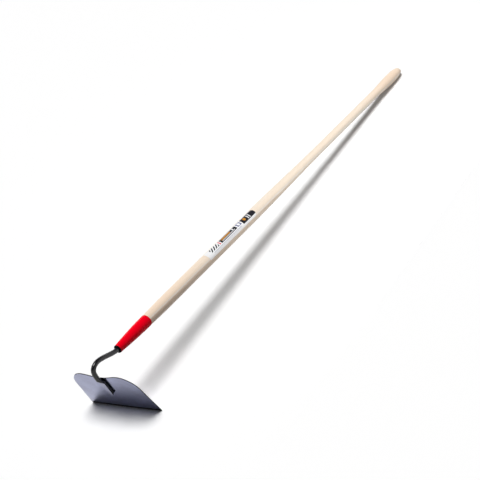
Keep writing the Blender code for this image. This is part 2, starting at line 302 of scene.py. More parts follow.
# How strongly each mark shows: a plain share, or the base and the rise of a ramp
EARLY_STRENGTH = (0.12, 0.35)
STREAK_STRENGTH = 0.5
RUDDY_STRENGTH = 0.6
PALE_RING_HIGHLIGHT_STRENGTH = 0.8
# The heartwood, partly painted shade, shows strongest near the ferrule and faintest near the knob
HEART_STRONG = 0.5
HEART_FAINT = 0.12
HEART_EARLY = 0.2
PORE_CROWDING = (0.2, 0.8)
PORE_STRENGTH = 0.3
FIBRE_STRENGTH = (-0.12, 0.45)
PORE_ROUGHNESS = (0.36, 0.2)
FIBRE_ROUGHNESS = 0.15
FIBRE_HEIGHT = 0.3

lacquered_ash, tree, shader = new_finish("lacquered_ash", LATE_WOOD, roughness=0.42, coat=0.2,
                                         coat_roughness=0.2, reflectance=0.35)
upright = own_place(tree, tool_frame)
slanted = add_node(tree, "Mapping", {"Vector": upright, "Rotation": GRAIN_SLANT,
                                     "Location": (-PITH_ACROSS, -PITH_AWAY, 0.0)})
level = add_node(tree, "VectorMath", {0: slanted.outputs[0], 1: (1.0, 1.0, 0.0)}, operation="MULTIPLY")
from_pith = add_node(tree, "VectorMath", {0: level.outputs[0]}, operation="LENGTH").outputs["Value"]
wander = speckle(tree, upright, **WANDER_NOISE)
waver = ramp(tree, wander, work_out(tree, "SUBTRACT", from_pith, 0.5 * RING_WANDER), RING_WANDER)
ring_count = work_out(tree, "DIVIDE", waver, RING_WIDTH)
ring_number = work_out(tree, "FLOOR", ring_count)
in_ring = work_out(tree, "FRACT", ring_count)
ring_tone = add_node(tree, "TexWhiteNoise", {"W": ring_number}, noise_dimensions="1D").outputs["Value"]
early = work_out(tree, "MULTIPLY", fade(tree, in_ring, *EARLY_START), fade(tree, in_ring, *EARLY_END))
pores = fade(tree, speckle(tree, upright, **PORE_NOISE), *PORE_LIMITS)
open_pores = work_out(tree, "MULTIPLY", pores, ramp(tree, early, *PORE_CROWDING))
fibres = speckle(tree, upright, **FIBRE_NOISE)
streaks = fade(tree, speckle(tree, upright, **STREAK_NOISE), *STREAK_LIMITS)
early_share = work_out(tree, "MULTIPLY", early, ramp(tree, ring_tone, *EARLY_STRENGTH))
wood = blend_colours(tree, early_share, LATE_WOOD, EARLY_WOOD)
wood = blend_colours(tree, work_out(tree, "MULTIPLY", streaks, STREAK_STRENGTH), wood, PALE_WOOD)
climb = add_node(tree, "SeparateXYZ", {0: upright}).outputs["Z"]
ruddy = work_out(tree, "MAXIMUM", fade(tree, climb, *RUDDY_LOW), fade(tree, climb, *RUDDY_HIGH))
wood = blend_colours(tree, work_out(tree, "MULTIPLY", ruddy, RUDDY_STRENGTH), wood, RUDDY_WOOD)
to_heart = work_out(tree, "SUBTRACT", waver, HEART_RADIUS)
# Pale ring beside the heartwood: partly real pale wood, partly a painted highlight streak along the handle
pale_ring_and_highlight = work_out(tree, "MULTIPLY", fade(tree, to_heart, -PALE_RING_EDGE, PALE_RING_EDGE),
                     fade(tree, to_heart, PALE_RING_WIDTH, PALE_RING_FULL))
wood = blend_colours(tree, work_out(tree, "MULTIPLY", pale_ring_and_highlight, PALE_RING_HIGHLIGHT_STRENGTH), wood, PALE_WOOD)
# Brown heartwood on the handle's lower side: partly real, partly painted shade, deepest near the ferrule
heart = fade(tree, to_heart, *HEART_EDGE)
heart_and_shade_depth = add_node(tree, "MapRange", {"Value": climb, "From Min": HEART_DEEP, "From Max": HEART_PALE,
                                          "To Min": HEART_STRONG, "To Max": HEART_FAINT}).outputs["Result"]
heart_and_shade_share = work_out(tree, "MULTIPLY", heart, ramp(tree, early, heart_and_shade_depth, HEART_EARLY))
wood = blend_colours(tree, heart_and_shade_share, wood, HEARTWOOD_AND_SHADE)
wood = blend_colours(tree, work_out(tree, "MULTIPLY", open_pores, PORE_STRENGTH), wood, PORE_BROWN)
wood = blend_colours(tree, ramp(tree, fibres, *FIBRE_STRENGTH, clamp=True), wood, EARLY_WOOD)
tree.links.new(wood, shader.inputs["Base Color"])
dull = ramp(tree, open_pores, *PORE_ROUGHNESS)
tree.links.new(ramp(tree, fibres, dull, FIBRE_ROUGHNESS), shader.inputs["Roughness"])
relief_height = ramp(tree, open_pores, work_out(tree, "MULTIPLY", fibres, FIBRE_HEIGHT), -1.0)
add_relief(tree, shader, relief_height, depth=0.00006)
handle.data.materials.append(lacquered_ash)
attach(handle, "root")
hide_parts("handle")

# Ferrule: a steel tube drawn to a taper, pressed over the handle's seat and painted gloss red outside. Its
# mouth is turned in a little and blackened with the rod. Inside, the tube is painted near-black as shade,
# with faint rust.

FERRULE_LENGTH = 0.112
FERRULE_MOUTH_RADIUS = 0.0095
FERRULE_WIDE_RADIUS = 0.0141
FERRULE_FLARE = 1.8
FERRULE_WALL = 0.001
MOUTH_ROUND = 0.0016
FERRULE_SIDES = 96
FERRULE_RINGS = 22
RIM_RINGS = 7
LIP_RINGS = 8

# The throat's edge inside the mouth, as shares of the wall: how far in and how far up, and the lip's overhang
THROAT_EDGE = ((0.3, 0.9), (0.4, 0.3))
LIP_OVERHANG = 0.1


def ferrule_radius(height):
    """Outer radius of the ferrule at this height above its mouth."""
    share = 1 - (1 - height / FERRULE_LENGTH) ** FERRULE_FLARE
    return FERRULE_MOUTH_RADIUS + (FERRULE_WIDE_RADIUS - FERRULE_MOUTH_RADIUS) * share


half_wall = 0.5 * FERRULE_WALL
wall_heights = spread(MOUTH_ROUND, FERRULE_LENGTH - half_wall, FERRULE_RINGS)
outside = [(ferrule_radius(height), height) for height in wall_heights]
inside = [(radius - FERRULE_WALL, height) for radius, height in reversed(outside)]
rim_middle = outside[-1][0] - half_wall
rim = [(rim_middle + half_wall * cos(turn), FERRULE_LENGTH - half_wall + half_wall * sin(turn))
       for turn in spread(0.0, pi, RIM_RINGS)[1:-1]]
lip_middle = outside[0][0] - MOUTH_ROUND
lip = [(lip_middle + MOUTH_ROUND * cos(turn), MOUTH_ROUND - MOUTH_ROUND * sin(turn))
       for turn in spread(0.5 * pi, 0.0, LIP_RINGS)[:-1]]
throat = inside[-1][0]
mouth_edge = [(throat - inward * FERRULE_WALL, up * FERRULE_WALL) for inward, up in THROAT_EDGE]
mouth_edge += [(lip_middle - LIP_OVERHANG * FERRULE_WALL, 0.0)]
ferrule = turn_up("red_ferrule", outside + rim + inside + mouth_edge + lip + outside[:1], FERRULE_SIDES,
                  closed_loop=True)
place_piece(ferrule, tool_frame, sharp_angle=radians(50))

RED = (0.97, 0.0, 0.014)
DEEP_RED = (0.78, 0.0, 0.010)
PRIMER_RED = (0.25, 0.0, 0.004)
DARK_STEEL_AND_SHADE = (0.008, 0.008, 0.010)
BORE_RUST = (0.03, 0.018, 0.012)
BLACKENED = 0.0011
LIP_NOISE = dict(scale=900.0)
LIP_RAGGED = 0.0006
POOL_NOISE = dict(scale=60.0, stretch=(1.0, 1.0, 0.3), detail=3.0)
DEEP_STRENGTH = (-0.1, 0.5)
PAINT_ROUGHNESS = (0.2, 0.12)
PEEL_NOISE = dict(scale=260.0, detail=1.0)
CHIP_NOISE = dict(scale=420.0, detail=4.0)
CHIP_LIMITS = (0.72, 0.75)
CHIP_STRENGTH = 0.5
CHIP_HEIGHT = -0.5
WEAR_NOISE = dict(scale=700.0, detail=3.0)
WEAR_REACH = 0.0022
WEAR_START = 0.0002
WEAR_FULL = 0.0006
RUST_NOISE = dict(scale=300.0, detail=4.0)
RUST_LIMITS = (0.45, 0.7)
RUST_ROUGHNESS = (0.5, 0.3)

gloss_red, tree, shader = new_finish("gloss_red_paint", RED, roughness=0.3, reflectance=0.05)
upright = own_place(tree, tool_frame)
climb = add_node(tree, "SeparateXYZ", {0: upright}).outputs["Z"]
ragged = ramp(tree, speckle(tree, upright, **LIP_NOISE), climb, LIP_RAGGED)
bare_lip = fade(tree, ragged, BLACKENED + LIP_RAGGED, BLACKENED)
pooled = speckle(tree, upright, **POOL_NOISE)
paint = blend_colours(tree, ramp(tree, pooled, *DEEP_STRENGTH, clamp=True), RED, DEEP_RED)
chips = fade(tree, speckle(tree, upright, **CHIP_NOISE), *CHIP_LIMITS)
wear = ramp(tree, speckle(tree, upright, **WEAR_NOISE), climb, WEAR_REACH)
near_rim = fade(tree, wear, FERRULE_LENGTH + WEAR_START, FERRULE_LENGTH + WEAR_FULL)
worn = work_out(tree, "MAXIMUM", work_out(tree, "MULTIPLY", chips, CHIP_STRENGTH), near_rim)
paint = blend_colours(tree, worn, paint, PRIMER_RED)
tree.links.new(blend_colours(tree, bare_lip, paint, DARK_STEEL_AND_SHADE), shader.inputs["Base Color"])
tree.links.new(ramp(tree, pooled, *PAINT_ROUGHNESS), shader.inputs["Roughness"])
orange_peel = speckle(tree, upright, **PEEL_NOISE)
add_relief(tree, shader, ramp(tree, worn, orange_peel, CHIP_HEIGHT), depth=0.00002, strength=0.5)
ferrule.data.materials.append(gloss_red)

# Painted shade: the inside of the tube is near-black for the shade in it, with faint rust marks
shaded_bore, tree, shader = new_finish("painted_shade_bore", DARK_STEEL_AND_SHADE, roughness=0.6)
upright = own_place(tree, tool_frame)
rust = fade(tree, speckle(tree, upright, **RUST_NOISE), *RUST_LIMITS)
tree.links.new(blend_colours(tree, rust, DARK_STEEL_AND_SHADE, BORE_RUST), shader.inputs["Base Color"])
tree.links.new(ramp(tree, rust, *RUST_ROUGHNESS), shader.inputs["Roughness"])
add_relief(tree, shader, rust, depth=0.00005)
ferrule.data.materials.append(shaded_bore)
upright_back = tool_frame.inverted()
for face in ferrule.data.polygons:
    middle = upright_back @ face.center
    outward = upright_back.to_3x3() @ face.normal
    face.material_index = int(outward.xy.dot(middle.xy) < 0.0 and middle.z < FERRULE_LENGTH - FERRULE_WALL)
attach(ferrule, "root")
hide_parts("ferrule")

# Rod: one round steel bar bent cold into a gooseneck, enamelled gloss black. Its tang is driven up the
# handle. Its lower end is forged out to a leaf that narrows to its tip, laid on the blade's outer face and
# ground flat on top.

ROD_RADIUS = 0.0055
TANG_LENGTH = 0.100
CROWN_RISE = 0.0141
CROWN_REACH = 0.067
NOSE_REACH = 0.0873
NOSE_DROP = 0.0003
LANDING_HEIGHT = 0.0975
TIP_HEIGHT = 0.057
TIP_CHAMFER = 0.85
LEAF_START = 0.119
LEAF_TOP = 0.103
LEAF_HALF_WIDTH = 0.0076
LEAF_TIP_HALF_WIDTH = 0.0032
LEAF_THICKNESS = 0.0054
LEAF_RAMP = radians(22)
LEAF_STEP = 0.0004
MOUTH_BACK = 0.030
MOUTH_AHEAD = 0.020
CROWN_BACK = 0.020
CROWN_AHEAD = 0.0117
NOSE_BACK = 0.0087
NOSE_AHEAD = 0.0105
LANDING_REACH = 0.014
BEND_STEPS = 24
ROD_ROUNDNESS = 14
GAP = 0.0003

# The block that cuts the leaf flat is wider than the leaf and higher than the bar
BLOCK_WIDTH = 4 * ROD_RADIUS
BLOCK_HEIGHT = 3 * ROD_RADIUS

# The blade's own frame: Y runs up the blade from its cutting edge, Z out of its outer face
BLADE_ANGLE = radians(67.5)
EDGE_LAND = 0.0012
BLADE_THICKNESS = 0.002
INNER_FACE = -0.5 * EDGE_LAND
OUTER_FACE = INNER_FACE + BLADE_THICKNESS
blade_frame = (tool_frame @ Matrix.Translation((0.0, EDGE_DROP, -EDGE_REACH))
               @ Matrix.Rotation(-(0.5 * pi + BLADE_ANGLE), 4, "X"))
tool_in_blade = blade_frame.inverted() @ tool_frame


def bend_rod(name, stations, radius):
    """Round bar along a smooth path, as a mesh with its ends closed."""
    bpy.ops.object.select_all(action="DESELECT")
    bpy.ops.curve.primitive_bezier_curve_add()
    bar = bpy.context.object
    bar.name = name
    path = bar.data.splines[0]
    path.bezier_points.add(len(stations) - 2)
    for knot, (where, back, ahead) in zip(path.bezier_points, stations):
        knot.handle_left_type = "FREE"
        knot.handle_right_type = "FREE"
        knot.co = where
        knot.handle_left = where + back
        knot.handle_right = where + ahead
    bar.data.resolution_u = BEND_STEPS
    bar.data.bevel_depth = radius
    bar.data.bevel_resolution = ROD_ROUNDNESS
    bar.data.use_fill_caps = True
    bpy.ops.object.convert(target="MESH")
    bpy.ops.object.mode_set(mode="EDIT")
    bpy.ops.mesh.select_all(action="SELECT")
    bpy.ops.mesh.remove_doubles(threshold=MERGE_DISTANCE)
    bpy.ops.mesh.normals_make_consistent(inside=False)
    bpy.ops.object.mode_set(mode="OBJECT")
    return bar


def clusters(places, apart=MERGE_DISTANCE):
    """The places in rising order, without those that lie within this distance after one that is kept."""
    kept = []
    for place in sorted(places):
        if not kept or place - kept[-1] > apart:
            kept.append(place)
    return kept


surface = OUTER_FACE + GAP
standoff = surface + ROD_RADIUS
up_blade = Vector((0.0, 1.0, 0.0))
up_tool = tool_in_blade.to_3x3() @ Vector((0.0, 0.0, 1.0))
down_tool = tool_in_blade.to_3x3() @ Vector((0.0, 1.0, 0.0))
stations = [
    (tool_in_blade @ Vector((0.0, 0.0, TANG_LENGTH)), up_tool * MOUTH_BACK, up_tool * -MOUTH_BACK),
    (tool_in_blade @ Vector((0.0, 0.0, 0.0)), up_tool * MOUTH_BACK, up_tool * -MOUTH_AHEAD),
    (tool_in_blade @ Vector((0.0, -CROWN_RISE, -CROWN_REACH)), up_tool * CROWN_BACK, up_tool * -CROWN_AHEAD),
    (tool_in_blade @ Vector((0.0, NOSE_DROP, -NOSE_REACH)), down_tool * -NOSE_BACK, down_tool * NOSE_AHEAD),
    (Vector((0.0, LANDING_HEIGHT, standoff)), up_blade * LANDING_REACH, up_blade * -LANDING_REACH),
    (Vector((0.0, TIP_HEIGHT, standoff)), up_blade * LANDING_REACH, up_blade * -LANDING_REACH),
]
rod = bend_rod("gooseneck_rod", stations, ROD_RADIUS)

# The end is spread to the leaf, band by band up the blade, and the rim of its tip is chamfered
bpy.ops.object.mode_set(mode="EDIT")


def on_end(place):
    """Whether a point of the rod belongs to its end on the blade."""
    return place.y < LEAF_START and 0.0 < place.z < surface + BLOCK_HEIGHT


def leaf_half_width(height):
    """Half the width of the rod's end at this height up the blade."""
    if height > LEAF_TOP:
        return eased(LEAF_HALF_WIDTH, ROD_RADIUS, (height - LEAF_TOP) / (LEAF_START - LEAF_TOP))
    share = (LEAF_TOP - height) / (LEAF_TOP - TIP_HEIGHT)
    return LEAF_HALF_WIDTH + (LEAF_TIP_HALF_WIDTH - LEAF_HALF_WIDTH) * share


end_heights = [corner.co.y for corner in bmesh.from_edit_mesh(rod.data).verts if on_end(corner.co)]
for band in clusters(end_heights, LEAF_STEP):
    select_where(rod, lambda place: on_end(place) and 0.0 <= place.y - band <= LEAF_STEP)
    bpy.ops.transform.resize(value=(leaf_half_width(band) / ROD_RADIUS, 1.0, 1.0),
                             center_override=(0.0, band, 0.0))
select_where(rod, lambda place: on_end(place) and place.y < TIP_HEIGHT + MERGE_DISTANCE)
bpy.ops.transform.resize(value=(TIP_CHAMFER, 1.0, TIP_CHAMFER), center_override=(0.0, TIP_HEIGHT, standoff))
bpy.ops.object.mode_set(mode="OBJECT")

# The leaf's flat top and the ramp up to the round bar: a block with a slanted upper end is cut away there
leaf_length = LEAF_TOP - TIP_HEIGHT
bpy.ops.object.select_all(action="DESELECT")
bpy.ops.mesh.primitive_cube_add(size=1.0)
cutter = bpy.context.object
bpy.ops.object.mode_set(mode="EDIT")
bpy.ops.mesh.select_all(action="SELECT")
bpy.ops.transform.resize(value=(BLOCK_WIDTH, leaf_length + ROD_RADIUS, BLOCK_HEIGHT))
bpy.ops.transform.translate(value=(0.0, 0.5 * (leaf_length - ROD_RADIUS), 0.5 * BLOCK_HEIGHT))
select_where(cutter, lambda place: place.y > 0.0 and place.z > ROD_RADIUS)
bpy.ops.transform.translate(value=(0.0, BLOCK_HEIGHT / tan(LEAF_RAMP), 0.0))
bpy.ops.object.mode_set(mode="OBJECT")
cutter.location = (0.0, TIP_HEIGHT, surface + LEAF_THICKNESS)
for slot in range(2):
    rod.data.materials.append(None)
    cutter.data.materials.append(None)
for face in cutter.data.polygons:
    face.material_index = 1
bpy.context.view_layer.objects.active = rod
flat_cut = rod.modifiers.new("Flat", "BOOLEAN")
flat_cut.operation = "DIFFERENCE"
flat_cut.object = cutter
bpy.ops.object.modifier_apply(modifier="Flat")
bpy.ops.object.select_all(action="DESELECT")
cutter.select_set(True)
bpy.ops.object.delete()
rod.select_set(True)
place_piece(rod, blade_frame, sharp_angle=radians(35))

BLACK = (0.004, 0.004, 0.006)
BLACK_POOLED = (0.010, 0.010, 0.014)
DUST_GREY = (0.06, 0.06, 0.07)
ENAMEL_NOISE = dict(scale=120.0, detail=3.0)
ENAMEL_ROUGHNESS = (0.04, 0.06)
DUST_NOISE = dict(scale=1500.0)
DUST_LIMITS = (0.68, 0.74)
DUST_STRENGTH = 0.3

black_enamel, tree, shader = new_finish("gloss_black_enamel", BLACK, roughness=0.07, reflectance=0.45)
upright = own_place(tree, tool_frame)
pooled = speckle(tree, upright, **ENAMEL_NOISE)
dust = fade(tree, speckle(tree, upright, **DUST_NOISE), *DUST_LIMITS)
enamel = blend_colours(tree, pooled, BLACK, BLACK_POOLED)
enamel = blend_colours(tree, work_out(tree, "MULTIPLY", dust, DUST_STRENGTH), enamel, DUST_GREY)
tree.links.new(enamel, shader.inputs["Base Color"])
tree.links.new(ramp(tree, pooled, *ENAMEL_ROUGHNESS), shader.inputs["Roughness"])
add_relief(tree, shader, speckle(tree, upright, **PEEL_NOISE), depth=0.00002, strength=0.5)
rod.data.materials[0] = black_enamel

GROUND_STEEL = (0.33, 0.34, 0.46)
GROUND_DULL = (0.24, 0.25, 0.34)
SCORE_NOISE = dict(scale=1400.0, stretch=(0.08, 1.0, 1.0), detail=3.0)
SCORE_LIMITS = (0.35, 0.7)
SCORE_ROUGHNESS = (0.06, 0.2)

ground_flat, tree, shader = new_finish("ground_flat", GROUND_STEEL, roughness=0.3, metallic=1.0)
flat_place = own_place(tree, blade_frame)
scored = speckle(tree, flat_place, **SCORE_NOISE)
tree.links.new(blend_colours(tree, fade(tree, scored, *SCORE_LIMITS), GROUND_STEEL, GROUND_DULL),
               shader.inputs["Base Color"])
tree.links.new(ramp(tree, scored, *SCORE_ROUGHNESS), shader.inputs["Roughness"])
add_relief(tree, shader, scored, depth=0.00002, strength=0.6)
rod.data.materials[1] = ground_flat
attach(rod, "root")
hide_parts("rod")

# Blade: sheet steel blanked to shape, bowed a little across and ground thin along the cutting edge on its
# outer face. It is blued, with its sheared rim black. Along its ground edge it is painted black as the dark
# reflection of the shaded floor at the edge.

BLADE_WIDTH = 0.190
BLADE_HEIGHT = 0.1225
BLADE_BOW = 0.0011
SIDE_SLOPE = 0.095
SHOULDER_ACROSS = 0.040
SHOULDER_UP = 0.0473
SHOULDER_STEPS = 16
TOP_DIP = 0.008
DIP_STEPS = 12
GRIND_WIDTH = 0.005
RIM_ROUND = 0.00035
RIM_SEGMENTS = 3
RIM_CORNER = radians(50)

# A face whose normal points less than this out of the sheet belongs to its sheared rim
RIM_LEAN = 0.7

half_width = 0.5 * BLADE_WIDTH
side_top = BLADE_HEIGHT - SHOULDER_UP
side_across = half_width - SIDE_SLOPE * side_top
top_across = side_across - SHOULDER_ACROSS
below_edge = BLADE_THICKNESS

# The sides: a plate whose top is drawn in, and then extruded up in steps round both shoulders
bpy.ops.object.select_all(action="DESELECT")
bpy.ops.mesh.primitive_plane_add(size=1.0)
blade = bpy.context.object
blade.name = "steel_blade"
bpy.ops.object.mode_set(mode="EDIT")
bpy.ops.mesh.select_all(action="SELECT")
low_across = half_width + SIDE_SLOPE * below_edge
bpy.ops.transform.resize(value=(2 * low_across, side_top + below_edge, 1.0))
bpy.ops.transform.translate(value=(0.0, 0.5 * (side_top - below_edge), INNER_FACE))
select_where(blade, lambda place: place.y > 0.5 * side_top)
bpy.ops.transform.resize(value=(side_across / low_across, 1.0, 1.0),
                         center_override=(0.0, side_top, INNER_FACE))
shoulder_line = [(top_across + SHOULDER_ACROSS * cos(turn), side_top + SHOULDER_UP * sin(turn))
                 for turn in spread(0.0, 0.5 * pi, SHOULDER_STEPS + 1)]
for (near_across, near_up), (next_across, next_up) in zip(shoulder_line, shoulder_line[1:]):
    bpy.ops.mesh.extrude_edges_move(TRANSFORM_OT_translate={"value": (0.0, next_up - near_up, 0.0)})
    bpy.ops.transform.resize(value=(next_across / near_across, 1.0, 1.0),
                             center_override=(0.0, next_up, INNER_FACE))

# The dip in the top edge, column by column, then the bow across the whole plate
column_places = spread(0.0, top_across, DIP_STEPS + 1) + [place for place, _ in shoulder_line[:-1]]
for column in column_places:
    for side in (-column, column):
        bpy.ops.mesh.select_all(action="SELECT")
        bpy.ops.mesh.bisect(plane_co=(side, 0.0, 0.0), plane_no=(1.0, 0.0, 0.0), threshold=MERGE_DISTANCE)
bpy.ops.mesh.select_all(action="SELECT")
bpy.ops.mesh.remove_doubles(threshold=MERGE_DISTANCE)
for column in column_places[:DIP_STEPS]:
    select_where(blade, lambda place: abs(abs(place.x) - column) < MERGE_DISTANCE and place.y > side_top)
    dip = TOP_DIP * (1 - (column / top_across) ** 2) ** 2
    bpy.ops.transform.resize(value=(1.0, 1 - dip / SHOULDER_UP, 1.0),
                             center_override=(0.0, side_top, INNER_FACE))
bpy.ops.mesh.select_all(action="SELECT")
bpy.ops.mesh.bisect(plane_co=(0.0, GRIND_WIDTH, 0.0), plane_no=(0.0, 1.0, 0.0), threshold=MERGE_DISTANCE)
for column in clusters(abs(corner.co.x) for corner in bmesh.from_edit_mesh(blade.data).verts):
    select_where(blade, lambda place: 0.0 <= abs(place.x) - column <= MERGE_DISTANCE)
    bpy.ops.transform.translate(value=(0.0, 0.0, -BLADE_BOW * (column / half_width) ** 2))

# The plate's thickness, with its outer side ground down to the edge, which is trimmed level with the floor
bpy.ops.mesh.select_all(action="SELECT")
bpy.ops.mesh.extrude_region_move(TRANSFORM_OT_translate={"value": (0.0, 0.0, BLADE_THICKNESS)})
bpy.ops.mesh.select_all(action="SELECT")
bpy.ops.mesh.normals_make_consistent(inside=False)
ground_away = (BLADE_THICKNESS - EDGE_LAND) * (1 + below_edge / GRIND_WIDTH)
select_where(blade, lambda place: place.y < -0.5 * below_edge
             and place.z > INNER_FACE - BLADE_BOW * (place.x / half_width) ** 2 + 0.5 * BLADE_THICKNESS)
bpy.ops.transform.translate(value=(0.0, 0.0, -ground_away))
bpy.ops.mesh.select_all(action="SELECT")
floor_up = blade_frame.inverted().to_3x3() @ Vector((0.0, 0.0, 1.0))
bpy.ops.mesh.bisect(plane_co=(0.0, 0.0, 0.0), plane_no=floor_up, use_fill=True, clear_inner=True)
bpy.ops.object.mode_set(mode="OBJECT")
for face in blade.data.polygons:
    on_rim = abs(face.normal.z) < RIM_LEAN
    on_grind = face.normal.z > 0.0 and face.center.y < GRIND_WIDTH
    face.material_index = int(on_rim or on_grind)
rounding = blade.modifiers.new("Rounding", "BEVEL")
rounding.width = RIM_ROUND
rounding.segments = RIM_SEGMENTS
rounding.limit_method = "ANGLE"
rounding.angle_limit = RIM_CORNER
bpy.ops.object.modifier_apply(modifier="Rounding")
place_piece(blade, blade_frame, sharp_angle=radians(35))

BLUED = (0.31, 0.33, 0.47)
BLUED_CLOUD = (0.26, 0.27, 0.39)
BLUED_RUB = (0.22, 0.22, 0.30)
HEAT_TINT = (0.20, 0.19, 0.36)
BLADE_BLACK = (0.004, 0.004, 0.006)
TORN_GREY = (0.03, 0.03, 0.04)
EDGE_REFLECTION_BAND = 0.009
CLOUD_NOISE = dict(scale=28.0, detail=4.0, roughness=0.6)
CLOUD_LIMITS = (0.35, 0.7)
RUB_NOISE = dict(scale=700.0, stretch=(1.0, 0.15, 1.0), detail=3.0)
RUB_STRENGTH = (-0.12, 0.4)
BLUED_ROUGHNESS = (0.10, 0.06)
GROUND_ROUGHNESS = 0.25

# The welding left a faint ring of temper colour round the leaf, longer up the blade than across
WELD_MIDDLE = 0.083
HEAT_STRETCH = 0.55
HEAT_INNER = (0.022, 0.026)
HEAT_OUTER = (0.033, 0.027)
HEAT_WANDER = 0.012
HEAT_STRENGTH = 0.25

blued_steel, tree, shader = new_finish("blued_steel", BLUED, roughness=0.16, metallic=1.0, reflectance=0.3)
flat_place = own_place(tree, blade_frame)
cloudy = speckle(tree, flat_place, **CLOUD_NOISE)
rubs = speckle(tree, flat_place, **RUB_NOISE)
steel = blend_colours(tree, fade(tree, cloudy, *CLOUD_LIMITS), BLUED, BLUED_CLOUD)
steel = blend_colours(tree, ramp(tree, rubs, *RUB_STRENGTH, clamp=True), steel, BLUED_RUB)
stretched = add_node(tree, "Mapping", {"Vector": flat_place,
                                       "Location": (0.0, -HEAT_STRETCH * WELD_MIDDLE, 0.0),
                                       "Scale": (1.0, HEAT_STRETCH, 1.0)})
from_weld = add_node(tree, "VectorMath", {0: stretched.outputs[0]}, operation="LENGTH").outputs["Value"]
heat_edge = ramp(tree, cloudy, from_weld, HEAT_WANDER)
heat_ring = work_out(tree, "MULTIPLY", fade(tree, heat_edge, *HEAT_INNER), fade(tree, heat_edge, *HEAT_OUTER))
steel = blend_colours(tree, work_out(tree, "MULTIPLY", heat_ring, HEAT_STRENGTH), steel, HEAT_TINT)
up_sheet = add_node(tree, "SeparateXYZ", {0: flat_place}).outputs["Y"]
# Painted reflection: the band along the ground edge is painted black for the shaded floor it mirrors there
ground = fade(tree, up_sheet, EDGE_REFLECTION_BAND, GRIND_WIDTH)
tree.links.new(blend_colours(tree, ground, steel, BLADE_BLACK), shader.inputs["Base Color"])
rubbed = ramp(tree, cloudy, *BLUED_ROUGHNESS)
tree.links.new(ramp(tree, ground, rubbed, GROUND_ROUGHNESS), shader.inputs["Roughness"])
add_relief(tree, shader, work_out(tree, "ADD", rubs, cloudy), depth=0.00001, strength=0.5)
blade.data.materials.append(blued_steel)

TORN_NOISE = dict(scale=900.0, stretch=(1.0, 1.0, 3.0), detail=3.0)
TORN_LIMITS = (0.55, 0.8)
TORN_ROUGHNESS = (0.3, 0.3)

black_rim, tree, shader = new_finish("black_sheared_rim", BLADE_BLACK, roughness=0.4, reflectance=0.02)
flat_place = own_place(tree, blade_frame)
torn = speckle(tree, flat_place, **TORN_NOISE)
tree.links.new(blend_colours(tree, fade(tree, torn, *TORN_LIMITS), BLADE_BLACK, TORN_GREY),
               shader.inputs["Base Color"])
tree.links.new(ramp(tree, torn, *TORN_ROUGHNESS), shader.inputs["Roughness"])
add_relief(tree, shader, torn, depth=0.00008)
blade.data.materials.append(black_rim)
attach(blade, "root")
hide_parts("blade")

# Welds: one arc bead along each side of the rod's end, laid in overlapping ripples and painted over with
# the rod. The two draw a little closer together towards the leaf's tip.

BEAD_RADIUS = 0.0019
BEAD_LOW = 0.060
BEAD_HIGH = 0.110
BEAD_TAPER = 0.008
BEAD_END_SHARE = 0.3
RIPPLE_LENGTH = 0.0021
RIPPLE_STEPS = 4
RIPPLE_DEPTH = 0.10
BEAD_SIDES = 24
BEAD_LEAN = 0.0025

bead_length = BEAD_HIGH - BEAD_LOW
bead_steps = round(bead_length / RIPPLE_LENGTH) * RIPPLE_STEPS
bead_profile = []
for step, along in enumerate(spread(0.0, bead_length, bead_steps + 1)):
    to_end = max(0.0, min(1.0, along / BEAD_TAPER, (bead_length - along) / BEAD_TAPER))
    girth = BEAD_END_SHARE + (1 - BEAD_END_SHARE) * to_end ** 0.5
    ripple = 1 - RIPPLE_DEPTH * abs(cos(pi * step / RIPPLE_STEPS))
    bead_profile.append((BEAD_RADIUS * girth * ripple, along))
end_ring = BEAD_END_SHARE * bead_profile[0][0]
bead_profile = [(end_ring, -GAP)] + bead_profile + [(end_ring, bead_length + GAP)]
bead_height = OUTER_FACE + GAP + BEAD_RADIUS
bead_across = ((ROD_RADIUS + BEAD_RADIUS + GAP) ** 2 - (ROD_RADIUS - BEAD_RADIUS) ** 2) ** 0.5

WELD_SCALE = (0.025, 0.025, 0.032)
SCALE_NOISE = dict(scale=800.0, detail=3.0)
SCALE_ROUGHNESS = (0.2, 0.3)

weld_enamel, tree, shader = new_finish("weld_enamel", BLACK, roughness=0.3, reflectance=0.25)
flat_place = own_place(tree, blade_frame)
scale_marks = speckle(tree, flat_place, **SCALE_NOISE)
tree.links.new(blend_colours(tree, scale_marks, BLACK, WELD_SCALE), shader.inputs["Base Color"])
tree.links.new(ramp(tree, scale_marks, *SCALE_ROUGHNESS), shader.inputs["Roughness"])
add_relief(tree, shader, scale_marks, depth=0.00006)

for name, hand in (("weld_left", -1), ("weld_right", 1)):
    bead = turn_up("bead_" + name, bead_profile, BEAD_SIDES)
    low_end = Matrix.Translation((hand * (bead_across - BEAD_LEAN), BEAD_LOW, bead_height))
    leaning = Matrix.Rotation(-hand * BEAD_LEAN / bead_length, 4, "Z")
    lay_along = low_end @ leaning @ Matrix.Rotation(-0.5 * pi, 4, "X")
    place_piece(bead, blade_frame @ lay_along, sharp_angle=radians(60))
    bead.data.materials.append(weld_enamel)
    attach(bead, "root")
    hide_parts(name)

# Label: a printed plastic film die cut with one round end, stuck on the handle's upper side and wrapped
# over it. The print is a plain design of bars, slanted stripes and discs.

LABEL_START = 0.360
LABEL_END = 0.571
LABEL_WIDTH = 0.0236
LABEL_ANGLE = radians(-58)
LABEL_THICKNESS = 0.0002
LABEL_ROUND_END = 0.0095
ROUND_END_STEPS = 10
LABEL_CORNER = 0.002
CORNER_STEPS = 4
LABEL_LIFT = 0.00012
LABEL_COLUMNS = 24
LABEL_ROWS = 40

